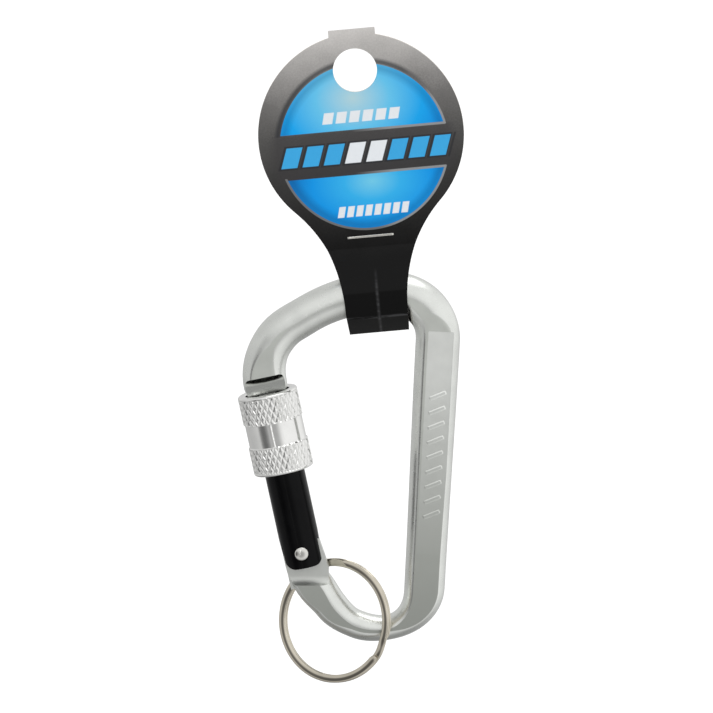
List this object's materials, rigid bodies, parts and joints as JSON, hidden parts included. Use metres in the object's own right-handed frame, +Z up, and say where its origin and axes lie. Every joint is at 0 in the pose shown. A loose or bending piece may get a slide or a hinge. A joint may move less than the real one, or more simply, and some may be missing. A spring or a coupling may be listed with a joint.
{
  "type": "carabiner keyring",
  "caption": "Screw-lock accessory carabiner with a spring gate and knurled locking sleeve, a split ring for keys and a looped card hang tag.",
  "frame": {"origin": "inside of the top bow at its apex, where the clip hangs", "axes": "+Z up from the bottom bow to the top bow and the tag, +X from the gate towards the spine, -Y is the front with the spine's panel"},
  "size_m": [0.0463, 0.0138, 0.1411],
  "materials": {
    "frame_metal": "polished",
    "gate_black": "gloss black anodised",
    "sleeve_metal": "knurled, bright",
    "rivet_steel": "polished",
    "inner_steel": "satin",
    "ring_nickel": "nickel plated, polished",
    "tag_card": "printed, gloss coated",
    "staple_wire": "bright"
  },
  "bodies": {
    "clip_frame": {"frame": "frame_metal"},
    "gate": {"gate": "gate_black", "hinge_rivet": "rivet_steel", "latch_pin": "rivet_steel", "gate_spring": "inner_steel"},
    "sleeve": {"lock_sleeve": "sleeve_metal"},
    "plunger": {"spring_plunger": "inner_steel"},
    "ring": {"split_ring": "ring_nickel"},
    "tag": {"hang_tag": "tag_card", "staple": "staple_wire"}
  },
  "joints": [
    {"name": "gate_hinge", "type": "hinge", "parent": "clip_frame", "child": "gate", "pos_m": [-0.01667, 0, -0.05208], "axis": [0, 1, 0], "range_deg": [0, 20], "stiffness_Nm_per_rad": 0.05, "springref_deg": -28.65},
    {"name": "sleeve_slide", "type": "slide", "parent": "gate", "child": "sleeve", "axis": [0.2605, 0, -0.9655], "range_m": [0, 0.014]},
    {"name": "plunger_slide", "type": "slide", "parent": "gate", "child": "plunger", "axis": [-0.2605, 0, 0.9655], "range_m": [0, 0.00046], "deforming": ["gate_spring"]},
    {"name": "ring_swing", "type": "hinge", "parent": "clip_frame", "child": "ring", "pos_m": [-0.0075, 0, -0.0656], "axis": [1, 0, 0], "range_deg": [-75, 0]},
    {"name": "tag_swing", "type": "hinge", "parent": "clip_frame", "child": "tag", "pos_m": [-0.0039, 0, 0.0042], "axis": [0.9895, 0, 0.1444], "range_deg": [-40, 40]}
  ],
  "couplings": [
    {"joint": "sleeve_slide", "follows": "gate_hinge", "m_per_rad": 0.0401},
    {"joint": "plunger_slide", "follows": "gate_hinge", "m_per_rad": 0.001317}
  ]
}
